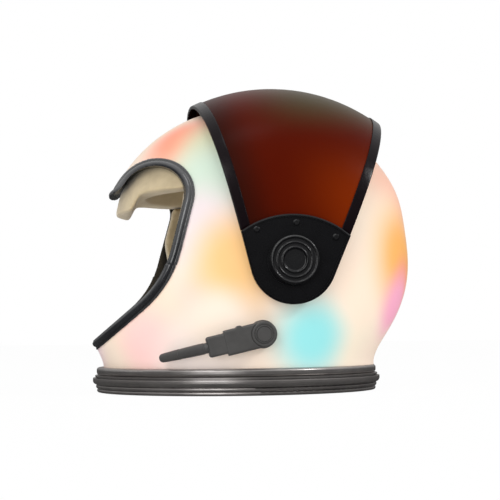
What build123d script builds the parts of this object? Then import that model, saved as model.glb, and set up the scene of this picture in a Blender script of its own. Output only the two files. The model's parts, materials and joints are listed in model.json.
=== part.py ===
from build123d import *
from math import cos, pi, radians, sin
import os

# An astronaut's full-size pressure-helmet form. Millimetres, +Z up, origin at the centre of the
# neck ring's lower face. The face looks along -X, the wearer's left side is -Y.

# Overall sizes
shell_crown = 279.5
shell_front = 152.5
shell_rear = 173.0
shell_half_width = 134.2
shell_wall = 3.0
neck_bore_inset = 16.2
neck_bore_radius = shell_half_width - neck_bore_inset
ring_height = 24.0
overrun = 60.0
solid_gap = 0.3
running_clearance = 0.05

# Shell sections from foot to crown, as shares of the crown's height above the ring and of the
# front reach, rear reach and half width
shell_shares = [
    (0.0, 0.854, 0.784, 0.984),
    (0.055, 0.885, 0.804, 0.989),
    (0.13, 0.943, 0.875, 0.995),
    (0.24, 0.99, 0.959, 1.0),
    (0.38, 0.997, 0.999, 0.998),
    (0.52, 0.93, 0.984, 0.973),
    (0.65, 0.812, 0.945, 0.91),
    (0.765, 0.695, 0.85, 0.802),
    (0.865, 0.54, 0.711, 0.644),
    (0.94, 0.35, 0.545, 0.455),
    (0.985, 0.125, 0.35, 0.244),
]
crown_shift = 22.0

# Shell foot and its screws
foot_flange_height = 5.0
foot_flange_margin = 1.0
neck_screw_count = 8
neck_screw_inset = 6.0
neck_screw_radius = 2.0
neck_screw_head_radius = 3.4
neck_screw_head_height = 2.2
neck_screw_start = 22.5
neck_screw_bite = 3.5

# Neck ring
base_bead_height = 7.5
base_bead_reach = 19.9
base_foot_height = 3.7
base_foot_reach = 18.9
middle_bead_height = 9.0
middle_bead_reach = 23.0
upper_bead_reach = 19.3
ring_groove = 1.2
ring_groove_depth = 3.0
middle_ridge = 1.6
middle_ridge_reach = 20.8
base_sleeve_height = 15.5
base_sleeve_wall = 2.0
seal_height = 6.0
seal_reach = 6.0
seal_seat_depth = 2.5
seal_lip_share = 0.3
bead_share = 0.42
upper_bead_rounding = 2.8
dome_share = 0.9

# Face opening in side view: a notch between a sloping brow, a leaning back edge and the chin
chin_slope = 40.6
opening_back_slope = 75.2
brow_x = -121.0
brow_z = 190.8
brow_slope = 54.0
brow_front_rise = 34.0
brow_radius = 9.0
chin_x = -95.5
chin_z = 84.5
opening_back_x = -55.0
opening_back_z = 182.0
opening_upper_radius = 31.4
opening_lower_radius = 100.0

# Face trim, a rubber channel over the edge of the shell
trim_cover = 6.2
trim_bead = 3.2
trim_proud = 2.0
trim_inner_flange = 2.6
trim_seam_z = 117.0

# Visor pivot
pivot_x = 35.2
pivot_z = 118.9
pivot_flat_radius = 28.0
pivot_boss_radius = 8.0
pivot_base_radius = 25.0
washer_radius = 19.0
washer_thickness = 0.9
spring_washer_radius = 13.0
spring_washer_thickness = 0.8
screw_radius = 2.5
screw_head_radius = 10.5
screw_head_height = 1.6
screw_hex_radius = 3.2
backing_radius = 15.0
backing_thickness = 2.5
cap_radius = 22.0
cap_rim_radius = 20.3
cap_step_radius = 15.9
cap_dish_radius = 11.5
cap_thickness = 6.2
cap_rim_depth = 0.9
cap_dish_depth = 1.9
cap_groove = 0.9
cap_edge = 1.2

# Visor
visor_radius = 177.3
visor_side_gap = 3.8
visor_half_width = shell_half_width + visor_side_gap
visor_side_power = 2.0
visor_crown_power = 2.8
visor_thickness = 1.8
visor_profile_steps = 6
fan_radius = 39.0
fan_front_lean = 14.1
fan_rear_lean = 23.1
visor_trim_cover = 9.6
visor_trim_over = 1.0
visor_trim_proud = 1.0
visor_trim_under = 0.5

# Side plates
plate_rise = 6.6
plate_face = visor_half_width + plate_rise
plate_top = 41.2
plate_top_radius = 79.0
plate_chamfer = 1.4
plate_relief_depth = 0.7
plate_relief_margin = 2.6
plate_relief_ring = 1.5
rivet_places = [(-33.0, 27.2), (2.6, 33.4), (38.0, 20.4)]
rivet_radius = 1.6
rivet_head_radius = 3.0
rivet_head_height = 1.5
rivet_dimple_radius = 1.1
rivet_dimple_depth = 0.7
rivet_tail_height = 0.8
rivet_crown_share = 0.7
dish_taper = 25.0

# Microphone boom on the left side
boom_x = 7.5
boom_z = 54.0
boom_slope = 13.0
boom_mount_radius = 12.5
boom_mount_rise = 4.4
boom_mount_face = shell_half_width + boom_mount_rise
boom_mount_edge = 1.0
boom_hub_radius = 11.5
boom_hub_height = 9.0
boom_ring_radius = 8.8
boom_ring_width = 1.0
boom_ring_depth = 0.8
boom_pin_radius = 3.0
boom_pin_head_radius = 6.5
boom_pin_head_height = 1.4
boom_pin_bite = 4.0
boom_block_end = 34.5
boom_block_height = 22.6
boom_neck_end = 51.0
boom_neck_height = 18.4
boom_neck_inset = 0.6
boom_edge = 2.2
boom_bump_at = 20.4
boom_bump_radius = 3.4
boom_bump_rise = 1.2
boom_collar_length = 2.8
boom_collar_radius = 4.0
boom_turn = 33.0
boom_rod_radius = 4.2
boom_rod_length = 25.0
boom_tip_length = 22.0
boom_tip_radius = 4.7

# Foam liner
pad_thickness = 22.0
front_pad_thickness = 18.0
cheek_pad_drop = 2.0
brow_pad_line = [(-113.0, 171.5), (-99.0, 187.0), (0.0, 192.0)]
brow_pad_bend = 7.0
front_pad_width = 26.0
pad_low_z = 66.0
crown_pad_z = 196.0
nape_pad_x = 92.0
pad_gap = 1.5


crown_height = shell_crown - ring_height

foot_flange_inner = neck_bore_radius + foot_flange_margin
neck_screw_circle = neck_bore_radius + neck_screw_inset
base_bead_radius = neck_bore_radius + base_bead_reach
base_foot_radius = neck_bore_radius + base_foot_reach
middle_bead_radius = neck_bore_radius + middle_bead_reach
middle_ridge_radius = neck_bore_radius + middle_ridge_reach
upper_bead_radius = neck_bore_radius + upper_bead_reach
seal_inner = neck_bore_radius - seal_reach


def shell_form(offset):
    """The shell's outer form, grown or shrunk by an offset and closed at the foot."""
    sections = []
    for level_share, front_share, rear_share, width_share in shell_shares:
        front = front_share * shell_front + offset
        rear = rear_share * shell_rear + offset
        width = width_share * shell_half_width + offset
        z = ring_height + level_share * (crown_height + offset)
        egg = Ellipse((front + rear) / 2, width)
        sections.append(Pos((rear - front) / 2, 0, z) * egg)
    apex = Vertex(crown_shift, 0, shell_crown + offset)
    return loft([section.face() for section in sections] + [apex])


def side_prism(sketch, half_depth):
    """A side-view sketch in X and Z, extruded to both sides."""
    return extrude(Plane.XZ * sketch, amount=half_depth, both=True)


def toward(point, run, slope):
    """The point at a distance along a slope, given in degrees up from +X."""
    return point[0] + run * cos(radians(slope)), point[1] + run * sin(radians(slope))


def crossing(first, first_slope, second, second_slope):
    """Where two sloping lines meet."""
    turn = sin(radians(second_slope - first_slope))
    across = second[0] - first[0]
    up = second[1] - first[1]
    run = (across * sin(radians(second_slope)) - up * cos(radians(second_slope))) / turn
    return toward(first, run, first_slope)


def opening_sketch(grow):
    """The face opening in side view, grown from the shell's edge. It is a notch between a sloping
    brow and a sloping chin, and at the brow's middle it turns square to the shell's front."""
    brow = (brow_x, brow_z)
    back = (opening_back_x, opening_back_z)
    chin = (chin_x, chin_z)
    top = crossing(brow, brow_slope, back, opening_back_slope)
    low = crossing(chin, chin_slope, back, opening_back_slope)
    reach = shell_front + overrun
    top_far = toward(brow, -reach, -brow_front_rise)
    low_far = toward(chin, -reach, chin_slope)
    notch = make_face(Polyline(top_far, brow, top, low, low_far, close=True))
    for corner, rounding in (
        (brow, brow_radius),
        (top, opening_upper_radius),
        (low, opening_lower_radius),
    ):
        notch = fillet(notch.vertices().sort_by_distance(corner)[0], rounding)
    return offset(notch, amount=grow) if grow else notch


def opening_prism(grow):
    return side_prism(opening_sketch(grow), shell_half_width + overrun)


def ring_of(points):
    """A ring turned about the vertical axis from a profile of (radius, height) points."""
    return revolve(Plane.XZ * make_face(Polyline(*points, close=True)), Axis.Z)


def bead_ring(inner, outer, low, high, rounding):
    """A ring of rectangular section with a rounded outer edge."""
    profile = Pos((inner + outer) / 2, (low + high) / 2) * Rectangle(outer - inner, high - low)
    profile = fillet(profile.vertices().group_by(Axis.X)[-1], rounding)
    return revolve(Plane.XZ * profile, Axis.Z)


def around(count, radius, start=0.0):
    """Places evenly spaced on a circle about the vertical axis."""
    return [Rot(0, 0, start + 360 / count * turn) * Pos(radius, 0, 0) for turn in range(count)]


def disc_up(radius, z_from, z_to):
    """An upright disc about the neck ring's axis, or about a place that it is moved to."""
    return Pos(0, 0, z_from) * extrude(Circle(radius), z_to - z_from)


def disc(radius, y_from, y_to, x=pivot_x, z=pivot_z):
    """A disc about a side-to-side axis, between two places across the helmet."""
    return extrude(Plane((x, y_from, z), x_dir=(1, 0, 0), z_dir=(0, 1, 0)) * Circle(radius), y_to - y_from)


def mirrored(solid):
    return mirror(solid, about=Plane.XZ)


def visor_form(offset):
    """The solid inside the visor's curve, turned about the pivot's side-to-side axis."""
    reach = visor_radius + offset - pivot_flat_radius
    width = visor_half_width + offset
    curve = []
    for step in range(-visor_profile_steps, visor_profile_steps + 1):
        turn = pi / 2 * step / visor_profile_steps
        side = width * abs(sin(turn)) ** (2 / visor_side_power)
        out = reach * cos(turn) ** (2 / visor_crown_power) if abs(step) < visor_profile_steps else 0
        curve.append((side if step > 0 else -side, pivot_flat_radius + out))
    rim = Spline(*curve)
    foot = Polyline(curve[-1], (width, 0), (-width, 0), curve[0])
    plane = Plane((pivot_x, 0, pivot_z), x_dir=(0, 1, 0), z_dir=(1, 0, 0))
    return revolve(plane * make_face(Curve() + [rim, foot]), Axis((pivot_x, 0, pivot_z), (0, 1, 0)))


def fan_sketch(grow):
    """The visor's side view: a round about the pivot and two lines that leave it as tangents."""
    reach = fan_radius + grow
    front = (sin(radians(-fan_front_lean)), cos(radians(fan_front_lean)))
    rear = (sin(radians(fan_rear_lean)), cos(radians(fan_rear_lean)))
    run = visor_radius + overrun
    front_foot = (pivot_x - reach * front[1], pivot_z + reach * front[0])
    rear_foot = (pivot_x + reach * rear[1], pivot_z - reach * rear[0])
    front_far = (front_foot[0] + run * front[0], front_foot[1] + run * front[1])
    rear_far = (rear_foot[0] + run * rear[0], rear_foot[1] + run * rear[1])
    wedge = Polyline((pivot_x, pivot_z), front_foot, front_far, rear_far, rear_foot, close=True)
    return make_face(wedge) + Pos(pivot_x, pivot_z) * Circle(reach)


def plate_sketch(grow):
    """The side plate's outline: the fan below an arched top."""
    top_centre = pivot_z + plate_top - plate_top_radius
    return fan_sketch(grow) & Pos(pivot_x, top_centre) * Circle(plate_top_radius + grow)


def slab(sketch, y_from, y_to):
    """A side-view sketch in X and Z, extruded between two places across the helmet."""
    return extrude(Plane((0, y_to, 0), x_dir=(1, 0, 0), z_dir=(0, -1, 0)) * sketch, y_to - y_from)


def block_between(low, high):
    """An upright block between two corners."""
    return Pos(*[(a + b) / 2 for a, b in zip(low, high)]) * Box(*[b - a for a, b in zip(low, high)])


os.makedirs("parts", exist_ok=True)
parts = {}

outer_form = shell_form(0)
inner_form = shell_form(-shell_wall)
opening = opening_prism(0)

# Shell with its face opening, an inward foot flange and blind holes for the neck ring's screws
foot_flange = disc_up(shell_half_width, ring_height, ring_height + foot_flange_height) & outer_form
foot_flange -= disc_up(foot_flange_inner, ring_height, ring_height + foot_flange_height)
shell = outer_form - inner_form + foot_flange - opening
for place in around(neck_screw_count, neck_screw_circle, neck_screw_start):
    shell -= place * disc_up(neck_screw_radius, ring_height, ring_height + neck_screw_bite)
parts["shell"] = shell

# Rubber trim: the band between two outlines beside the shell's edge, hollowed by the shell itself
trim_band = opening_prism(trim_cover) - opening_prism(-trim_bead)
trim = (shell_form(trim_proud) - shell_form(-shell_wall - trim_inner_flange)) & trim_band
trim = trim - (outer_form - inner_form - opening)
parts["face_trim_upper"] = trim & block_between(
    (-shell_front - overrun, -shell_half_width - overrun, trim_seam_z),
    (0, shell_half_width + overrun, shell_crown),
)
parts["face_trim_lower"] = trim & block_between(
    (-shell_front - overrun, -shell_half_width - overrun, ring_height + foot_flange_height),
    (0, shell_half_width + overrun, trim_seam_z),
)

# Neck ring: three stacked rings, the lowest with a sleeve that forms the bore
sleeve_radius = neck_bore_radius + base_sleeve_wall
middle_low = base_bead_height
middle_high = middle_low + middle_bead_height
upper_low = middle_high
screw_head_seat = neck_screw_head_height + solid_gap
bead_rounding = base_foot_height * bead_share
base = bead_ring(neck_bore_radius, base_foot_radius, 0, base_foot_height, bead_rounding)
base += bead_ring(neck_bore_radius, base_bead_radius, base_foot_height, base_bead_height, bead_rounding)
base += ring_of([
    (neck_bore_radius, 0),
    (sleeve_radius, 0),
    (sleeve_radius, base_sleeve_height),
    (neck_bore_radius, base_sleeve_height),
])
middle = bead_ring(
    sleeve_radius + solid_gap, middle_bead_radius, middle_low, middle_high, middle_bead_height * bead_share
)
groove_low = middle_high - ring_groove - middle_ridge
middle -= ring_of([
    (middle_ridge_radius - ring_groove_depth, groove_low),
    (middle_bead_radius + overrun, groove_low),
    (middle_bead_radius + overrun, middle_high),
    (middle_ridge_radius, middle_high),
    (middle_ridge_radius, middle_high - middle_ridge),
    (middle_ridge_radius - ring_groove_depth, middle_high - middle_ridge),
])
upper = bead_ring(neck_bore_radius, upper_bead_radius, upper_low, ring_height, upper_bead_rounding)
seal_low = ring_height - seal_height
upper -= ring_of([
    (0, seal_low),
    (neck_bore_radius + seal_seat_depth, seal_low),
    (neck_bore_radius + seal_seat_depth, ring_height),
    (0, ring_height),
])
screws = []
for place in around(neck_screw_count, neck_screw_circle, neck_screw_start):
    hole = place * disc_up(neck_screw_radius, 0, ring_height)
    base = base - hole - place * disc_up(neck_screw_head_radius, 0, screw_head_seat)
    middle -= hole
    upper -= hole
    shank = disc_up(neck_screw_radius, screw_head_seat, ring_height + neck_screw_bite)
    head = disc_up(neck_screw_head_radius, solid_gap, screw_head_seat)
    socket = Pos(0, 0, solid_gap) * extrude(RegularPolygon(neck_screw_radius, 6), neck_screw_head_height / 2)
    screws.append(place * (shank + head - socket))
parts["neck_ring_base"] = base
parts["neck_ring_middle"] = middle
parts["neck_ring_upper"] = upper
parts["neck_ring_screws"] = Compound(children=screws)

# Neck seal: a lip ring seated in the upper ring
parts["neck_seal"] = ring_of([
    (neck_bore_radius + seal_seat_depth, seal_low),
    (neck_bore_radius + seal_seat_depth, ring_height),
    (neck_bore_radius - seal_lip_share * seal_seat_depth, ring_height),
    (seal_inner, ring_height - seal_lip_share * seal_height),
    (seal_inner, seal_low + seal_lip_share * seal_height),
    (neck_bore_radius, seal_low),
])

# Visor lens and the channels on its two edges
lens_under = visor_form(0)
lens_over = visor_form(visor_thickness)
fan_inside = side_prism(fan_sketch(-visor_trim_over), shell_half_width + overrun)
lens = (lens_over - lens_under) & fan_inside
edge_band = side_prism(fan_sketch(0), shell_half_width + overrun)
edge_band -= side_prism(fan_sketch(-visor_trim_cover), shell_half_width + overrun)
edge_band -= side_prism(plate_sketch(solid_gap), shell_half_width + overrun)
edge_trim = (visor_form(visor_thickness + visor_trim_proud) - visor_form(-visor_trim_under)) & edge_band
edge_trim -= lens
edges = edge_trim.solids().sort_by(Axis.X)
parts["visor_front_trim"] = edges[0]
parts["visor_rear_trim"] = edges[-1]

# Side plates, seated on the lens, with their rivets
boss_bore = pivot_boss_radius + running_clearance
plate = slab(plate_sketch(0), -plate_face, -shell_half_width) - lens_over
plate = chamfer(plate.faces().sort_by(Axis.Y)[0].edges(), plate_chamfer)
relief = slab(plate_sketch(-plate_relief_margin), -plate_face, -plate_face + plate_relief_depth)
relief -= disc(cap_radius + plate_relief_ring, -plate_face, -plate_face + plate_relief_depth)
plate -= relief
lens -= disc(boss_bore, -plate_face - overrun, plate_face + overrun)
plate -= disc(boss_bore, -plate_face - overrun, 0)
rivets = []
for rivet_x, rivet_z in rivet_places:
    x, z = pivot_x + rivet_x, pivot_z + rivet_z
    seat = -plate_face + plate_relief_depth
    shank_hole = disc(rivet_radius, -plate_face - overrun, 0, x, z)
    plate -= shank_hole
    lens = lens - shank_hole - mirrored(shank_hole)
    tail = disc(rivet_head_radius, seat, 0, x, z) & (lens_under - visor_form(-rivet_tail_height))
    shank = disc(rivet_radius, seat, 0, x, z) - lens_under
    head = disc(rivet_head_radius, seat - rivet_head_height, seat, x, z)
    head = chamfer(head.edges().sort_by(Axis.Y)[0], rivet_head_height * rivet_crown_share)
    head -= disc(rivet_dimple_radius, seat - overrun, seat - rivet_head_height + rivet_dimple_depth, x, z)
    rivets.append(shank + head + tail)
parts["visor_lens"] = lens
parts["side_plate_left"] = plate
parts["side_plate_right"] = mirrored(plate)
parts["plate_rivets_left"] = Compound(children=rivets)
parts["plate_rivets_right"] = Compound(children=[mirrored(rivet) for rivet in rivets])

# Pivot stack on the left, from the shell outwards: base and boss, slip washer, then past the
# lens and plate a spring washer, a screw that clamps it and a cap. A backing disc holds the
# screw inside the shell.
slip_face = -visor_half_width + solid_gap
base_face = slip_face + washer_thickness
spring_seat = -plate_face - solid_gap
boss_end = spring_seat - spring_washer_thickness
screw_face = boss_end - screw_head_height
cap_face = spring_seat - cap_thickness
pivot_base = disc(pivot_base_radius, base_face, 0) - outer_form
pivot_base += disc(pivot_boss_radius, boss_end, base_face)
screw_hole = disc(screw_radius, -shell_half_width - overrun, 0)
pivot_base -= screw_hole
shell -= screw_hole + mirrored(screw_hole)
washer = disc(washer_radius, slip_face, base_face) - disc(boss_bore, slip_face, base_face)
spring_washer = disc(spring_washer_radius, boss_end, spring_seat) - disc(boss_bore, boss_end, spring_seat)
backing = disc(backing_radius, -shell_half_width, 0) & inner_form
backing -= shell_form(-shell_wall - backing_thickness)
screw = disc(screw_head_radius, screw_face, boss_end)
screw += disc(screw_radius, boss_end, 0) - shell_form(-shell_wall - backing_thickness)
socket = Pos(pivot_x, pivot_z) * RegularPolygon(screw_hex_radius, 6)
screw -= slab(socket, screw_face, screw_face + screw_head_height / 2)
backing -= screw_hole
cap = disc(cap_radius, cap_face, spring_seat)
cap = chamfer(cap.edges().sort_by(Axis.Y)[0], cap_edge)
cap -= disc(spring_washer_radius + pad_gap, screw_face, spring_seat)
cap -= disc(cap_rim_radius - cap_groove, cap_face, cap_face + cap_rim_depth)
cap += disc(cap_step_radius, cap_face, cap_face + cap_rim_depth)
cap -= disc(cap_step_radius - cap_groove, cap_face, cap_face + cap_rim_depth)
cap += disc(cap_dish_radius, cap_face, cap_face + cap_rim_depth)
dish_turn = Plane((pivot_x, cap_face, pivot_z), x_dir=(1, 0, 0), z_dir=(0, 1, 0))
cap -= dish_turn * extrude(Circle(cap_dish_radius - cap_groove), cap_dish_depth, taper=dish_taper)
for name, solid in [
    ("pivot_base", pivot_base),
    ("pivot_slip_washer", washer),
    ("pivot_spring_washer", spring_washer),
    ("pivot_screw", screw),
    ("pivot_backing", backing),
    ("pivot_cap", cap),
]:
    parts[name + "_left"] = solid
    parts[name + "_right"] = mirrored(solid)

# Microphone boom, drawn in its own plane: u runs along the arm, w down across it
arm = Plane(
    (boom_x, -boom_mount_face - solid_gap, boom_z),
    x_dir=(-cos(radians(boom_slope)), 0, -sin(radians(boom_slope))),
    z_dir=(0, -1, 0),
)
hub_top = boom_hub_height - boom_pin_head_height
mount = disc(boom_mount_radius, -boom_mount_face, 0, boom_x, boom_z) - outer_form
mount = chamfer(mount.edges().filter_by(GeomType.CIRCLE).sort_by(Axis.Y)[0], boom_mount_edge)
pin = arm * extrude(Circle(boom_pin_radius), hub_top)
pin += arm * Pos(0, 0, hub_top) * extrude(Circle(boom_pin_head_radius), boom_pin_head_height)
pin += disc(boom_pin_radius, -boom_mount_face - solid_gap, -boom_mount_face + boom_pin_bite, boom_x, boom_z)
mount -= disc(boom_pin_radius, -boom_mount_face, -boom_mount_face + boom_pin_bite, boom_x, boom_z)
hub = extrude(Circle(boom_hub_radius), boom_hub_height)
hub = chamfer(hub.edges().sort_by(Axis.Z)[-1], boom_ring_width)
ring_cut = Circle(boom_ring_radius) - Circle(boom_ring_radius - boom_ring_width)
hub -= Pos(0, 0, boom_hub_height - boom_ring_depth) * extrude(ring_cut, boom_ring_depth)
hub -= Pos(0, 0, hub_top) * extrude(Circle(boom_pin_head_radius + solid_gap), boom_pin_head_height)
hub -= extrude(Circle(boom_pin_radius + running_clearance), boom_hub_height)
block = Box(boom_block_end, boom_block_height, boom_hub_height)
block = Pos(boom_block_end / 2, 0, boom_hub_height / 2) * block
bump_place = Pos(boom_bump_at, -boom_block_height / 2 + boom_bump_radius - boom_bump_rise, 0)
block += bump_place * extrude(Circle(boom_bump_radius), boom_hub_height)
block = fillet(block.edges().filter_by(Axis.X), boom_edge)
neck_run = boom_neck_end - boom_block_end
neck_depth = boom_hub_height - boom_neck_inset
neck = Pos(boom_block_end + neck_run / 2, 0, neck_depth / 2) * Box(neck_run, boom_neck_height, neck_depth)
neck = fillet(neck.edges().filter_by(Axis.X) + neck.faces().sort_by(Axis.X)[-1].edges(), boom_edge)
housing = block + neck - extrude(Circle(boom_hub_radius), boom_hub_height)
housing = housing.solids().sort_by(Axis.X)[-1]
rod_start = boom_neck_end + boom_collar_length
rod_line = (cos(radians(boom_turn)), 0, -sin(radians(boom_turn)))
along = Plane((boom_neck_end, 0, boom_hub_height / 2), z_dir=rod_line)
past_collar = Pos(rod_start + overrun, 0, 0) * Box(overrun * 2, overrun * 2, overrun * 2)
rod = along * extrude(Circle(boom_rod_radius), boom_collar_length + boom_rod_length) & past_collar
tip_at = boom_collar_length + boom_rod_length
tip = along * Pos(0, 0, tip_at) * extrude(Circle(boom_tip_radius), boom_tip_length)
tip = fillet(tip.edges().sort_by(Axis.X)[-1], boom_tip_radius * dome_share)
collar_plane = Plane((boom_neck_end, 0, boom_hub_height / 2), z_dir=(1, 0, 0))
collar = collar_plane * extrude(Circle(boom_collar_radius), boom_collar_length)
parts["boom_mount"] = mount
parts["boom_pin"] = pin
parts["boom_hub"] = arm * hub
parts["boom_housing"] = arm * housing
parts["boom_collar"] = arm * collar
parts["boom_rod"] = arm * rod
parts["boom_tip"] = arm * tip

# Foam liner: bands beside the opening, then crown, sides and nape
trim_inside = shell_wall + trim_inner_flange + solid_gap
front_pads = shell_form(-trim_inside) - shell_form(-trim_inside - front_pad_thickness)
far = shell_half_width + overrun
front_band = opening_prism(front_pad_width)
brow_outline = [(-far, brow_pad_line[0][1])] + brow_pad_line + [(0, shell_crown), (-far, shell_crown)]
brow_side = make_face(Polyline(*brow_outline, close=True))
for corner in brow_pad_line[:2]:
    brow_side = fillet(brow_side.vertices().sort_by_distance(corner)[0], brow_pad_bend)
parts["brow_pad"] = front_pads & front_band & side_prism(brow_side, far)
cheek_space = block_between((-far, -far, pad_low_z), (0, 0, shell_crown))
cheek_space -= side_prism(offset(brow_side, amount=pad_gap), far)
cheek_pad = front_pads & (front_band - opening_prism(-cheek_pad_drop)) & cheek_space
cheek_pad = cheek_pad.solids().sort_by(SortBy.VOLUME)[-1]
parts["cheek_pad_left"] = cheek_pad
parts["cheek_pad_right"] = mirrored(cheek_pad)
liner = shell_form(-shell_wall - solid_gap) - shell_form(-shell_wall - pad_thickness)
liner -= opening_prism(front_pad_width + pad_gap)
parts["crown_pad"] = liner & block_between((-far, -far, crown_pad_z + pad_gap), (far, far, shell_crown))
side_pad = liner & block_between((-far, -far, pad_low_z), (nape_pad_x, 0, crown_pad_z))
recess_floor = shell_form(-shell_wall - backing_thickness - pad_gap)
side_pad -= disc(backing_radius + pad_gap, -far, 0) - recess_floor
side_pad = side_pad.solids().sort_by(SortBy.VOLUME)[-1]
parts["side_pad_left"] = side_pad
parts["side_pad_right"] = mirrored(side_pad)
parts["nape_pad"] = liner & block_between((nape_pad_x + pad_gap, -far, pad_low_z), (far, far, crown_pad_z))

parts["shell"] = shell
for name, solid in parts.items():
    export_step(solid, os.path.join("parts", name + ".step"))
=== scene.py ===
"""The looks of the astronaut helmet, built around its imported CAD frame.

Places and lengths are in metres, in the frame's own place, where a note doesn't say millimetres.
"""

import json
from math import copysign, cos, exp, inf, radians, sin, sqrt, tan

import bmesh
import bpy
from mathutils import Matrix, Vector


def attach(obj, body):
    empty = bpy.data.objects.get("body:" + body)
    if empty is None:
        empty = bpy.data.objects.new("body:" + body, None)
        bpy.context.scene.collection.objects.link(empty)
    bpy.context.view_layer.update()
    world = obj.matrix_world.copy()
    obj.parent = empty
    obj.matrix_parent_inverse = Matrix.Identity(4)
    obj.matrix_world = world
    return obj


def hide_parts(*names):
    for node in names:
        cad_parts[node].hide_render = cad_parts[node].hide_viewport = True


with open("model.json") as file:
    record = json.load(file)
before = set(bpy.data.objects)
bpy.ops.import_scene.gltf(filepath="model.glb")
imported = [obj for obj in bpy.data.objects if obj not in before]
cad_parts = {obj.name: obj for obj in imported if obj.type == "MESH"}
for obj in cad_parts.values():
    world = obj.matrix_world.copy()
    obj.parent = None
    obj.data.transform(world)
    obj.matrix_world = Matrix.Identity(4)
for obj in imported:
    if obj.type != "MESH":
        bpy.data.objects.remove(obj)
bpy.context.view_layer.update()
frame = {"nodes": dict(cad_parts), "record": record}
nodes = frame["nodes"]
MM = 0.001

# Camera. Its lens shows one millimetre at the target as one of the photo's pixels.
CAMERA_TARGET = Vector((0.015, 0.0, 0.1385))
CAMERA_DISTANCE = 1.2032
CAMERA_TURN = radians(-7.5)
CAMERA_RISE = radians(4.18)
CAMERA_ROLL = radians(0.65)
SENSOR = 36.0
PHOTO_PIXELS = 500
LENS = CAMERA_DISTANCE / MM * SENSOR / PHOTO_PIXELS


# Node trees

WHITE = (1.0, 1.0, 1.0, 1.0)
# A noise texture's values lie mostly between these
NOISE_LOW = 0.3
NOISE_HIGH = 0.7


def grey(value):
    """A neutral colour in the linear values that nodes use."""
    return (value, value, value, 1.0)


def srgb(red, green, blue):
    """A colour written as it looks on screen, 0 to 255, as the linear values that nodes use."""
    def linear(value):
        share = value / 255
        return share / 12.92 if share <= 0.04045 else ((share + 0.055) / 1.055) ** 2.4
    return (linear(red), linear(green), linear(blue), 1.0)


class Tree:
    """Builds the nodes of one tree. A value is a number, a tuple or another node's output."""

    def __init__(self, tree):
        self.tree = tree
        tree.nodes.clear()

    def feed(self, socket, value):
        """Links an output to a socket, or types a number or a tuple into it."""
        if isinstance(value, bpy.types.NodeSocket):
            self.tree.links.new(value, socket)
        else:
            socket.default_value = value

    def node(self, kind, inputs=None, **settings):
        """A new node. Its inputs are fed by name or by number."""
        made = self.tree.nodes.new("ShaderNode" + kind)
        for key, value in settings.items():
            setattr(made, key, value)
        for key, value in (inputs or {}).items():
            self.feed(made.inputs[key], value)
        return made

    def ranged(self, value, low, high, to_low, to_high, smooth=False):
        """Maps the range low to high onto to_low to to_high, and holds it at both ends."""
        inputs = {
            "Value": value, "From Min": low, "From Max": high, "To Min": to_low, "To Max": to_high,
        }
        kind = "SMOOTHERSTEP" if smooth else "LINEAR"
        return self.node("MapRange", inputs, interpolation_type=kind).outputs["Result"]

    def either(self, share, first, second):
        """The first shader where share is 0 and the second where it is 1."""
        return self.node("MixShader", {0: share, 1: first, 2: second}).outputs[0]

    def calculated(self, operation, first, second):
        """The result of a calculation with two numbers."""
        return self.node("Math", {0: first, 1: second}, operation=operation).outputs[0]

    def vectors(self, operation, first, second, output):
        """The result of a calculation with two vectors: its Vector, or its Value for a number."""
        return self.node("VectorMath", {0: first, 1: second}, operation=operation).outputs[output]


class Shader(Tree):
    """One material: a Principled surface and the textures that feed it."""

    def __init__(self, name):
        self.material = bpy.data.materials.new(name)
        self.material.use_nodes = True
        super().__init__(self.material.node_tree)
        self.surface = self.node("BsdfPrincipled")
        self.output = self.node("OutputMaterial", {"Surface": self.surface.outputs[0]})

    def set(self, **values):
        """Feeds the surface's inputs, whose names have _ for a space here."""
        for key, value in values.items():
            self.feed(self.surface.inputs[key.replace("_", " ")], value)

    def place(self):
        """Object coordinates, which are the frame's own metres."""
        return self.node("TexCoord").outputs["Object"]

    def noise(self, place, scale, detail, roughness=0.5):
        """A noise texture's values."""
        inputs = {"Vector": place, "Scale": scale, "Detail": detail, "Roughness": roughness}
        return self.node("TexNoise", inputs).outputs["Fac"]

    def varied(self, noise, to_low, to_high):
        """Noise spread from to_low to to_high."""
        return self.ranged(noise, NOISE_LOW, NOISE_HIGH, to_low, to_high)

    def mixed(self, factor, first, second):
        """The first colour where the factor is 0 and the second where it is 1."""
        inputs = {0: factor, 6: first, 7: second}
        return self.node("Mix", inputs, data_type="RGBA").outputs[2]

    def bump(self, height, strength, distance):
        """Relief too fine for geometry."""
        inputs = {"Height": height, "Strength": strength, "Distance": distance}
        self.set(Normal=self.node("Bump", inputs).outputs["Normal"])


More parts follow.
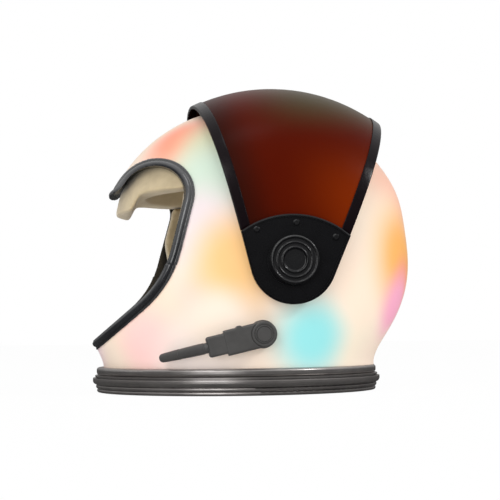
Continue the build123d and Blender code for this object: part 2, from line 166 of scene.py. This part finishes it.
# The shell's sprayed pastel fade: place, radius, colour. Later tints lie over earlier ones.
FADE_BASE = (252, 232, 213)
FADE_SPOTS = (
    # Left side, from the brow down to the neck ring
    ((-0.066, -0.070, 0.246), 0.052, (255, 162, 134)),
    ((-0.022, -0.090, 0.225), 0.055, (226, 226, 190)),
    ((-0.035, -0.105, 0.195), 0.050, (214, 232, 214)),
    ((-0.048, -0.118, 0.150), 0.050, (240, 226, 228)),
    ((-0.020, -0.132, 0.090), 0.042, (252, 218, 184)),
    ((-0.048, -0.125, 0.073), 0.042, (253, 216, 202)),
    ((-0.014, -0.128, 0.121), 0.052, (255, 205, 140)),
    ((-0.100, -0.100, 0.066), 0.060, (255, 230, 206)),
    ((-0.095, -0.100, 0.045), 0.045, (255, 212, 206)),
    ((-0.050, -0.124, 0.028), 0.050, (255, 240, 232)),
    ((-0.030, -0.130, 0.062), 0.040, (254, 236, 218)),
    # Left side, behind the boom and up the back
    ((0.096, -0.110, 0.048), 0.045, (248, 234, 212)),
    ((0.056, -0.130, 0.050), 0.048, (152, 228, 229)),
    ((0.110, -0.100, 0.100), 0.050, (255, 232, 210)),
    ((0.150, -0.060, 0.190), 0.066, (255, 204, 180)),
    ((0.120, -0.070, 0.150), 0.050, (255, 238, 214)),
    ((0.152, -0.064, 0.126), 0.061, (255, 186, 104)),
    ((0.156, -0.056, 0.104), 0.030, (255, 168, 128)),
    ((0.148, -0.060, 0.080), 0.040, (255, 178, 206)),
    # Right side, crown and chin, mostly out of the photo's sight
    ((0.158, 0.040, 0.200), 0.055, (208, 236, 222)),
    ((0.160, 0.055, 0.110), 0.060, (255, 205, 150)),
    ((0.110, 0.095, 0.060), 0.055, (250, 176, 198)),
    ((0.060, 0.128, 0.070), 0.050, (255, 200, 140)),
    ((0.000, 0.130, 0.050), 0.045, (178, 226, 230)),
    ((-0.060, 0.120, 0.060), 0.050, (255, 206, 200)),
    ((-0.110, 0.090, 0.050), 0.045, (236, 226, 206)),
    ((-0.040, 0.118, 0.150), 0.055, (253, 212, 150)),
    ((-0.030, 0.095, 0.215), 0.055, (206, 226, 200)),
    ((-0.070, 0.050, 0.245), 0.055, (255, 190, 168)),
    ((0.000, 0.000, 0.275), 0.060, (250, 220, 200)),
    ((-0.140, 0.000, 0.060), 0.050, (250, 222, 230)),
)
# Shares of a spot's radius: its full colour ends at the first and its fade at the second
FADE_CORE = 0.15
FADE_REACH = 1.25
SHELL_CENTRE = (0.01, 0.0, 0.12)
SHELL_INSIDE = (205, 200, 192)
INSIDE_BAND = 0.01


def shell_finish():
    """Satin paint in soft tints outside, and a pale grey where a face looks to the centre."""
    shader = Shader("shell_finish")
    place = shader.place()
    colour = srgb(*FADE_BASE)
    for centre, radius, tint in FADE_SPOTS:
        gap = shader.vectors("DISTANCE", place, centre, "Value")
        fade = shader.ranged(gap, radius * FADE_CORE, radius * FADE_REACH, 1.0, 0.0, smooth=True)
        colour = shader.mixed(fade, colour, srgb(*tint))
    outward = shader.vectors("SUBTRACT", place, SHELL_CENTRE, "Vector")
    normal = shader.node("NewGeometry").outputs["Normal"]
    facing = shader.vectors("DOT_PRODUCT", outward, normal, "Value")
    inside = shader.ranged(facing, -INSIDE_BAND, INSIDE_BAND, 1.0, 0.0)
    mottle = shader.noise(place, scale=9.0, detail=3.0)
    shader.set(
        Base_Color=shader.mixed(inside, colour, srgb(*SHELL_INSIDE)),
        Roughness=shader.varied(mottle, 0.46, 0.54),
        Specular_IOR_Level=0.15,
    )
    peel = shader.noise(place, scale=420.0, detail=2.0)
    shader.bump(peel, strength=0.06, distance=0.0004)
    return shader.material


# Painted shade: the dark colour laid along the face trim's groove, where shade falls
GROOVE_SHADE = (12, 12, 13)
# Worn places are lighter by a share and by a step of the 0 to 255 scale
WORN_SHARE = 1.12
WORN_STEP = 3


def plastic(
    name, colour, roughness, grain_scale, grain_height,
    metallic=0.0, spread=0.04, specular=0.5, shaded_groove=False,
):
    """A hard or rubbery surface with a fine grain and slight wear. With the groove option, painted
    shade darkens the groove's deepest line.
    """
    shader = Shader(name)
    place = shader.place()
    wear = shader.noise(place, scale=60.0, detail=5.0, roughness=0.6)
    worn = [min(255, value * WORN_SHARE + WORN_STEP) for value in colour]
    base = shader.mixed(shader.varied(wear, 0.0, 1.0), srgb(*colour), srgb(*worn))
    if shaded_groove:
        # Painted shade along the trim's groove, weighted by the groove attribute
        groove = shader.node("Attribute", attribute_name="groove").outputs["Fac"]
        base = shader.mixed(groove, base, srgb(*GROOVE_SHADE))
    grain = shader.noise(place, scale=grain_scale, detail=4.0)
    shader.set(
        Base_Color=base,
        Roughness=shader.varied(grain, roughness - spread, roughness + spread),
        Metallic=metallic,
        Specular_IOR_Level=specular,
    )
    shader.bump(grain, strength=0.25, distance=grain_height)
    return shader.material


# The visor's tones and where they lie. Lean is the distance from the frame's origin toward the
# rear, along a line that rises by VISOR_LEAN. Each range runs from none of a tone to all of it.
VISOR_TONES = ((74, 11, 0), (80, 17, 0))
VISOR_LEAN = radians(14.1)
VISOR_WARM = (116, 36, 0)
WARM_Z = (0.250, 0.160)
WARM_LEAN = (0.060, 0.150)
VISOR_EDGE = (46, 10, 3)
EDGE_LEAN = (0.074, 0.025)
# Painted sheen: a greenish grey-brown at the crown, where the top of the visor catches light
VISOR_PAINTED_SHEEN = (64, 54, 30)
SHEEN_X = (-0.02, 0.07)
SHEEN_Z = (0.225, 0.285)


def visor_finish():
    """Dark red-brown tint: warmer low at the rear, darker at the front, and a painted greenish
    grey-brown sheen at the crown.
    """
    shader = Shader("visor_finish")
    place = shader.place()
    parts = shader.node("SeparateXYZ", {0: place}).outputs
    along = (cos(VISOR_LEAN), 0.0, sin(VISOR_LEAN))
    lean = shader.vectors("DOT_PRODUCT", place, along, "Value")

    drift = shader.varied(shader.noise(place, scale=7.0, detail=2.0), 0.0, 1.0)
    tone = shader.mixed(drift, *(srgb(*colour) for colour in VISOR_TONES))
    low = shader.ranged(parts["Z"], *WARM_Z, 0.0, 1.0, smooth=True)
    back = shader.ranged(lean, *WARM_LEAN, 0.0, 1.0, smooth=True)
    warm = shader.calculated("MULTIPLY", low, back)
    tone = shader.mixed(warm, tone, srgb(*VISOR_WARM))
    edge = shader.ranged(lean, *EDGE_LEAN, 0.0, 1.0, smooth=True)
    tone = shader.mixed(edge, tone, srgb(*VISOR_EDGE))
    # Painted sheen at the crown, where the top of the visor catches light
    rear = shader.ranged(parts["X"], *SHEEN_X, 0.0, 1.0, smooth=True)
    crown = shader.ranged(parts["Z"], *SHEEN_Z, 0.0, 1.0, smooth=True)
    painted_sheen = shader.calculated("MULTIPLY", rear, crown)
    tone = shader.mixed(painted_sheen, tone, srgb(*VISOR_PAINTED_SHEEN))
    shader.set(Base_Color=tone, Roughness=0.3, IOR=1.45, Alpha=0.97, Specular_IOR_Level=0.04)
    return shader.material


FOAM_TONES = ((204, 186, 150), (186, 168, 134))


def foam_finish():
    """Fine beige cloth over foam."""
    shader = Shader("foam_finish")
    place = shader.place()
    cells = shader.varied(shader.noise(place, scale=70.0, detail=4.0), 0.0, 1.0)
    shader.set(
        Base_Color=shader.mixed(cells, *(srgb(*colour) for colour in FOAM_TONES)),
        Roughness=0.9,
        Sheen_Weight=0.35,
        Sheen_Roughness=0.5,
    )
    weave = shader.noise(place, scale=900.0, detail=2.0)
    shader.bump(weave, strength=0.35, distance=0.0006)
    return shader.material


def paint(name, material):
    """Gives a CAD node its finish."""
    mesh = nodes[name].data
    mesh.materials.clear()
    mesh.materials.append(material)
    mesh.polygons.foreach_set("material_index", [0] * len(mesh.polygons))


# Columns: name, colour, roughness, grain's scale, grain's height
CAP_BLACK = plastic("cap_black", (9, 9, 11), 0.24, 300.0, 0.00001, specular=0.6, spread=0.02)
FINISH_BY_SLOT = {
    "shell": shell_finish(),
    "liner": foam_finish(),
    "trim_rubber": plastic(
        "trim_rubber", (30, 31, 34), 0.24, 240.0, 0.00001, specular=1.0, shaded_groove=True
    ),
    "ring_metal": plastic(
        "ring_gunmetal", (140, 136, 134), 0.3, 260.0, 0.00001, metallic=0.85, spread=0.02
    ),
    "seal_rubber": plastic("seal_rubber", (24, 24, 24), 0.55, 400.0, 0.0003),
    "visor_tint": visor_finish(),
    "visor_edge": plastic("visor_edge_black", (11, 4, 7), 0.17, 300.0, 0.00001, specular=0.1),
    "plate_black": plastic(
        "plate_black", (8, 8, 10), 0.28, 300.0, 0.00001, specular=0.2, spread=0.02
    ),
    "steel": plastic("steel", (150, 150, 152), 0.3, 900.0, 0.0001, metallic=1.0),
    "boom_grey": plastic("boom_grey", (62, 61, 60), 0.4, 500.0, 0.0001, specular=0.4),
}
for part in frame["record"]["subparts"]:
    paint(part["node"], FINISH_BY_SLOT[part["material_slot"]])
for side in ("left", "right"):
    paint("plate_rivets_" + side, CAP_BLACK)


# The face opening's outline in side view, in millimetres and degrees, as the CAD draws it
OPENING_BROW = (-121.0, 190.8)
OPENING_BROW_SLOPE = 54.0
OPENING_BROW_RISE = 34.0
OPENING_BACK = (-55.0, 182.0)
OPENING_LEAN = 14.8
OPENING_CHIN = (-95.5, 84.5)
OPENING_CHIN_SLOPE = 40.6
OPENING_ROUNDS = (9.0, 31.4, 100.0)
OPENING_RUN = 200.0
ARC_STEPS = 14

# The face trim's form in millimetres. The CAD trim stands TRIM_HEIGHT over the shell. The bead is
# centred on the shell's edge and the lip on LIP_MIDDLE, which is counted outward from that edge.
TRIM_VOXEL = 0.7
TRIM_ROUNDS = 4
TRIM_LAST_ROUNDS = 8
TRIM_HEIGHT = 2.0
TRIM_CENTRE = Vector((-0.01, 0.0, 0.12))
# How far a face of the trim looks outward, from none of the new form to all of it
TRIM_OUTWARD = (0.15, 0.55)
BEAD_HALF = 3.4
BEAD_FOOT = -1.0
BEAD_RISE = 3.5
LIP_MIDDLE = 5.0
LIP_HALF = 1.5
LIP_FOOT = 0.3
LIP_RISE = 0.9
LIP_FOOT_START = 1.5
GROOVE_HALF = 0.6
SEAM_Z = 117.0
SEAM_REACH = 5.0
SEAM_PULL = 1.1

# Moulded parts with softened edges. Columns: node, body, slot, voxel, smoothing rounds, swelling.
# Lengths are in millimetres. The swelling lessens by BOOM_TAPER from the first X to the second.
ROUNDED_PARTS = (
    ("visor_front_trim", "visor", "visor_edge", 0.5, 5, 0.0),
    ("visor_rear_trim", "visor", "visor_edge", 0.5, 5, 0.0),
    ("pivot_cap_left", "root", "plate_black", 0.3, 6, 0.0),
    ("pivot_cap_right", "root", "plate_black", 0.3, 6, 0.0),
    ("boom_housing", "boom", "boom_grey", 0.35, 5, 0.0),
    ("boom_hub", "boom", "boom_grey", 0.3, 2, 0.0),
    ("boom_collar", "boom", "boom_grey", 0.25, 2, 0.7),
    ("boom_rod", "boom", "boom_grey", 0.3, 4, 0.8),
    ("boom_tip", "boom", "boom_grey", 0.3, 6, 0.5),
)
BOOM_TAPER = 1.7
BOOM_TAPER_X = (-50.0, -96.0)

# Channels sewn across the pads' inner faces, in millimetres: place, depth, width
CROWN_CHANNELS = ((0.0, 1.6, 1.6), (-38.0, 1.4, 1.5), (38.0, 1.4, 1.5))
NAPE_CHANNELS = ((100.0, 1.5, 1.5), (132.0, 1.5, 1.5), (164.0, 1.5, 1.5))
SIDE_CHANNELS = ((108.0, 1.5, 1.5), (152.0, 1.5, 1.5))
# Columns: node, voxel in millimetres, smoothing rounds, the axis across the channels, channels
PADS = (
    ("brow_pad", 1.8, 16, "z", ()),
    ("crown_pad", 2.4, 14, "y", CROWN_CHANNELS),
    ("nape_pad", 2.4, 14, "z", NAPE_CHANNELS),
    ("side_pad_left", 1.8, 16, "z", SIDE_CHANNELS),
    ("side_pad_right", 1.8, 16, "z", SIDE_CHANNELS),
    ("cheek_pad_left", 1.8, 16, "z", ()),
    ("cheek_pad_right", 1.8, 16, "z", ()),
)
PAD_SMOOTHING = 0.6
# A pad's inner faces look toward the head's centre by more than the share PAD_INNER. They are
# crowned by up to PAD_CROWN millimetres.
HEAD_CENTRE = Vector((0.015, 0.0, 0.13))
PAD_INNER = 0.35
PAD_CROWN = 0.9

# How the pads' low fronts are drawn back, in millimetres. Each range runs from none to all. The
# cheeks' move grows over CHEEK_FADE, from none at a gap of CHEEK_REACH from the shell's edge.
CHEEK_LOW_Z = (158.0, 128.0)
CHEEK_REACH = 26.0
CHEEK_FADE = 28.0
CHEEK_MOVE = 10.0
BROW_LOW_Z = (198.0, 166.0)
BROW_FRONT_X = (-60.0, -112.0)
BROW_MOVE = 8.0


def applied(piece):
    """Applies the piece's modifiers to its mesh."""
    bpy.context.view_layer.update()
    graph = bpy.context.evaluated_depsgraph_get()
    mesh = bpy.data.meshes.new_from_object(piece.evaluated_get(graph))
    old = piece.data
    piece.modifiers.clear()
    piece.data = mesh
    mesh.name = piece.name
    bpy.data.meshes.remove(old)
    return piece


def copy_of(source, name):
    """A new piece with a CAD node's mesh, whose equal corners are joined."""
    joined = bmesh.new()
    joined.from_mesh(nodes[source].data)
    bmesh.ops.remove_doubles(joined, verts=joined.verts, dist=1e-6)
    mesh = bpy.data.meshes.new(name)
    joined.to_mesh(mesh)
    joined.free()
    piece = bpy.data.objects.new(name, mesh)
    bpy.context.collection.objects.link(piece)
    return piece


def smoothed(piece, rounds, factor=0.5):
    """Smooths a piece's mesh, after its other modifiers."""
    part = piece.modifiers.new("soft", "SMOOTH")
    part.iterations = rounds
    part.factor = factor
    return applied(piece)


def remeshed(piece, voxel, rounds, factor=0.5):
    """Gives a piece an even mesh with softened edges. The voxel is in millimetres."""
    part = piece.modifiers.new("even", "REMESH")
    part.mode = "VOXEL"
    part.voxel_size = voxel * MM
    part.use_smooth_shade = True
    return smoothed(piece, rounds, factor)


def finished(piece, body, slot, replaced):
    """Smooth shading, a material, the body it rides on and the node it stands for."""
    mesh = piece.data
    mesh.materials.clear()
    mesh.materials.append(FINISH_BY_SLOT[slot])
    mesh.polygons.foreach_set("use_smooth", [True] * len(mesh.polygons))
    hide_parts(replaced)
    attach(piece, body)
    return piece


def with_normals(mesh):
    """Every vertex with the normal it has before any of them moves."""
    normals = [vertex.normal.copy() for vertex in mesh.vertices]
    return zip(mesh.vertices, normals)


def toward(point, run, slope):
    """The point at a distance from another, along a slope in degrees."""
    return (point[0] + run * cos(radians(slope)), point[1] + run * sin(radians(slope)))


def crossing(first, first_slope, second, second_slope):
    """Where two sloped lines meet."""
    turn = sin(radians(second_slope - first_slope))
    across, up = second[0] - first[0], second[1] - first[1]
    run = (across * sin(radians(second_slope)) - up * cos(radians(second_slope))) / turn
    return toward(first, run, first_slope)


def rounded_corners(points, rounds):
    """An open line of points whose inner corners are arcs of the given radii."""
    line = [Vector(points[0])]
    for before, corner, after, radius in zip(points, points[1:], points[2:], rounds):
        corner = Vector(corner)
        back = (Vector(before) - corner).normalized()
        ahead = (Vector(after) - corner).normalized()
        half = back.angle(ahead) / 2
        reach = radius / tan(half)
        centre = corner + (back + ahead).normalized() * radius / sin(half)
        start = corner + back * reach - centre
        end = corner + ahead * reach - centre
        sweep = start.angle(end)
        for step in range(ARC_STEPS + 1):
            share = step / ARC_STEPS
            blend = start * sin((1 - share) * sweep) + end * sin(share * sweep)
            line.append(centre + blend / sin(sweep))
    line.append(Vector(points[-1]))
    return line


def opening_line():
    """The shell's edge at the face opening in side view, in millimetres."""
    lean = 90 - OPENING_LEAN
    top = crossing(OPENING_BROW, OPENING_BROW_SLOPE, OPENING_BACK, lean)
    low = crossing(OPENING_CHIN, OPENING_CHIN_SLOPE, OPENING_BACK, lean)
    far_top = toward(OPENING_BROW, -OPENING_RUN, -OPENING_BROW_RISE)
    far_low = toward(OPENING_CHIN, -OPENING_RUN, OPENING_CHIN_SLOPE)
    return rounded_corners([far_top, OPENING_BROW, top, low, far_low], OPENING_ROUNDS)


OPENING = opening_line()


def beside_opening(x, z):
    """How far a place lies outside the opening's notch, in millimetres. Negative is inside it."""
    place = Vector((x, z))
    best = inf
    sign = 1.0
    for start, end in zip(OPENING, OPENING[1:]):
        along = end - start
        share = min(1.0, max(0.0, (place - start).dot(along) / along.length_squared))
        gap = place - (start + along * share)
        if gap.length < best:
            best = gap.length
            sign = 1.0 if along.x * gap.y - along.y * gap.x > 0 else -1.0
    return sign * best


def soft_step(value, low, high):
    """0 up to low and 1 from high on, with a smooth rise. Low may be the larger of the two."""
    share = min(1.0, max(0.0, (value - low) / (high - low)))
    return share * share * (3 - 2 * share)


def hump(value, half):
    """A half round over a strip of the given half width: 1 in its middle and 0 at its edges."""
    return sqrt(max(0.0, 1 - (value / half) ** 2))


def trim_height(gap):
    """The trim's height over the shell at a gap from the shell's edge, in millimetres."""
    if gap < BEAD_HALF:
        height = BEAD_FOOT + BEAD_RISE * hump(gap, BEAD_HALF)
    else:
        height = LIP_FOOT + LIP_RISE * hump(gap - LIP_MIDDLE, LIP_HALF)
    return max(height, LIP_FOOT if gap > LIP_FOOT_START else BEAD_FOOT)


def make_face_trim():
    """The rubber trim as a round bead at the edge, a groove with painted shade along it, and a thin
    lip on the shell.
    """
    for name in ("face_trim_upper", "face_trim_lower"):
        piece = remeshed(copy_of(name, name + "_bead"), TRIM_VOXEL, TRIM_ROUNDS)
        mesh = piece.data
        groove = mesh.attributes.new("groove", "FLOAT", "POINT")
        for vertex, normal in with_normals(mesh):
            gap = beside_opening(vertex.co.x / MM, vertex.co.z / MM)
            outward = (vertex.co - TRIM_CENTRE).normalized()
            share = soft_step(normal.dot(outward), *TRIM_OUTWARD)
            vertex.co += normal * share * (trim_height(gap) - TRIM_HEIGHT) * MM
            # How near a place lies to the groove's deepest line, which weights the painted shade
            # there
            groove_shade_share = exp(-(((gap - BEAD_HALF) / GROOVE_HALF) ** 2))
            groove.data[vertex.index].value = share * groove_shade_share
            past_seam = vertex.co.z / MM - SEAM_Z
            if abs(past_seam) < SEAM_REACH:
                pull = SEAM_PULL * (1 - abs(past_seam) / SEAM_REACH) * MM
                vertex.co.z -= copysign(pull, past_seam)
        finished(smoothed(piece, TRIM_LAST_ROUNDS), "root", "trim_rubber", name)


def make_rounded_parts():
    """Moulded parts with the slightly soft edges of the real ones."""
    for name, body, slot, voxel, rounds, swell in ROUNDED_PARTS:
        piece = remeshed(copy_of(name, name + "_soft"), voxel, rounds)
        if swell:
            for vertex, normal in with_normals(piece.data):
                along = soft_step(vertex.co.x / MM, *BOOM_TAPER_X)
                vertex.co += normal * (swell - BOOM_TAPER * along) * MM
        finished(piece, body, slot, name)
        if name.startswith("pivot_cap"):
            piece.data.materials[0] = CAP_BLACK


def draw_cheek_back(place):
    """Moves a low place back from the opening, so that the trim's inner lip shows."""
    x, z = place.x / MM, place.z / MM
    low = soft_step(z, *CHEEK_LOW_Z)
    gap = beside_opening(x, z)
    if low <= 0.0 or gap > CHEEK_REACH:
        return
    # The way out of the opening, from the gap's change over one millimetre
    across = beside_opening(x + 0.5, z) - beside_opening(x - 0.5, z)
    up = beside_opening(x, z + 0.5) - beside_opening(x, z - 0.5)
    move = low * CHEEK_MOVE * (CHEEK_REACH - gap) / CHEEK_FADE * MM
    place.x += across * move
    place.z += up * move


def draw_brow_back(place):
    """Moves the brow pad's low front back, as in the photo."""
    low = soft_step(place.z / MM, *BROW_LOW_Z)
    place.x += BROW_MOVE * MM * low * soft_step(place.x / MM, *BROW_FRONT_X)


def pad_rise(facing, across, channels):
    """How far a pad's inner face stands out at a place, in millimetres."""
    if facing <= PAD_INNER:
        return 0.0
    rise = PAD_CROWN * facing
    for line, depth, width in channels:
        rise -= depth * exp(-((across - line) / width) ** 2)
    return rise


def make_pads():
    """Foam pads under a fine cloth: softened edges, crowned inner faces and sewn channels."""
    for name, voxel, rounds, axis, channels in PADS:
        piece = remeshed(copy_of(name, name + "_cloth"), voxel, rounds, PAD_SMOOTHING)
        for vertex, normal in with_normals(piece.data):
            inward = (HEAD_CENTRE - vertex.co).normalized()
            facing = max(0.0, normal.dot(inward))
            rise = pad_rise(facing, getattr(vertex.co, axis) / MM, channels)
            vertex.co += normal * rise * MM
            if name.startswith("cheek_pad"):
                draw_cheek_back(vertex.co)
            elif name == "brow_pad":
                draw_brow_back(vertex.co)
        finished(piece, "root", "liner", name)


def set_camera():
    """The photograph's view: slightly in front of the side, low, with a slight roll."""
    back = Vector((
        sin(CAMERA_TURN) * cos(CAMERA_RISE),
        -cos(CAMERA_TURN) * cos(CAMERA_RISE),
        -sin(CAMERA_RISE),
    ))
    right = Vector((0, 0, 1)).cross(back).normalized()
    up = back.cross(right)
    turned_right = right * cos(CAMERA_ROLL) - up * sin(CAMERA_ROLL)
    turned_up = right * sin(CAMERA_ROLL) + up * cos(CAMERA_ROLL)
    data = bpy.data.cameras.new("camera")
    data.lens = LENS
    data.sensor_width = SENSOR
    camera = bpy.data.objects.new("camera", data)
    axes = Matrix((turned_right, turned_up, back)).transposed().to_4x4()
    camera.matrix_world = Matrix.Translation(CAMERA_TARGET + back * CAMERA_DISTANCE) @ axes
    bpy.context.collection.objects.link(camera)
    bpy.context.scene.camera = camera


# The sky's strength for light, and for reflections from the horizon to a height of REFLECTED_TOP
SKY_STRENGTH = 0.62
REFLECTED_STRENGTH = (0.08, 1.15)
REFLECTED_TOP = 0.8
FLOOR_HALF = 12.0
# The floor's share of plain white, for light and then for the camera
FLOOR_WHITE = (0.55, 0.97)
FLOOR_REFLECTED = 0.05
# Columns: name, place, target, width in metres, watts
LAMPS = (
    ("key", (-0.9, -1.5, 1.25), (0, 0, 0.15), 0.9, 8),
    ("front", (-0.9, -2.0, 0.22), (0, 0, 0.1), 1.3, 12),
    ("fill", (1.5, -0.95, 1.2), (0, 0, 0.15), 0.35, 11),
    ("top", (-0.2, -0.6, 1.9), (0, 0, 0.2), 0.6, 3),
)


def set_sky():
    """White behind the part, an even pale sky as light, and a gradient in reflections."""
    world = bpy.data.worlds.new("studio")
    bpy.context.scene.world = world
    world.use_nodes = True
    sky = Tree(world.node_tree)

    def background(strength):
        return sky.node("Background", {"Color": WHITE, "Strength": strength}).outputs[0]

    rays = sky.node("LightPath").outputs
    compass = sky.node("TexCoord").outputs["Generated"]
    height = sky.node("SeparateXYZ", {0: compass}).outputs["Z"]
    mirrored = background(sky.ranged(height, 0.0, REFLECTED_TOP, *REFLECTED_STRENGTH))
    light = sky.either(rays["Is Glossy Ray"], background(SKY_STRENGTH), mirrored)
    seen = sky.calculated("MAXIMUM", rays["Is Camera Ray"], rays["Is Transmission Ray"])
    sky.node("OutputWorld", {"Surface": sky.either(seen, light, background(1.0))})


def make_floor():
    """A floor that looks white to the camera, takes a pale shadow and is dim in reflections."""
    corners = [(x * FLOOR_HALF, y * FLOOR_HALF, 0) for x, y in ((-1, -1), (1, -1), (1, 1), (-1, 1))]
    mesh = bpy.data.meshes.new("floor")
    mesh.from_pydata(corners, [], [(0, 1, 2, 3)])
    floor = bpy.data.objects.new("floor", mesh)
    bpy.context.collection.objects.link(floor)

    shader = Shader("floor_white")
    shader.set(Base_Color=grey(0.9), Roughness=0.9, Specular_IOR_Level=0.1)
    rays = shader.node("LightPath").outputs
    white = shader.node("Emission", {"Color": WHITE, "Strength": 1.0}).outputs[0]
    dim = shader.node("Emission", {"Color": grey(FLOOR_REFLECTED)}).outputs[0]
    share = shader.ranged(rays["Is Camera Ray"], 0.0, 1.0, *FLOOR_WHITE)
    lit = shader.either(share, shader.surface.outputs[0], white)
    shader.feed(shader.output.inputs["Surface"], shader.either(rays["Is Glossy Ray"], lit, dim))
    mesh.materials.append(shader.material)


def make_lamps():
    """Soft round lamps in front, above and behind."""
    for name, place, target, width, power in LAMPS:
        data = bpy.data.lights.new(name, "AREA")
        data.shape = "DISK"
        data.size = width
        data.energy = power
        lamp = bpy.data.objects.new(name, data)
        lamp.location = place
        aim = Vector(target) - Vector(place)
        lamp.rotation_euler = aim.to_track_quat("-Z", "Y").to_euler()
        bpy.context.collection.objects.link(lamp)


bpy.context.scene.view_settings.view_transform = "Standard"
set_camera()
set_sky()
make_floor()
make_lamps()
make_face_trim()
make_rounded_parts()
make_pads()
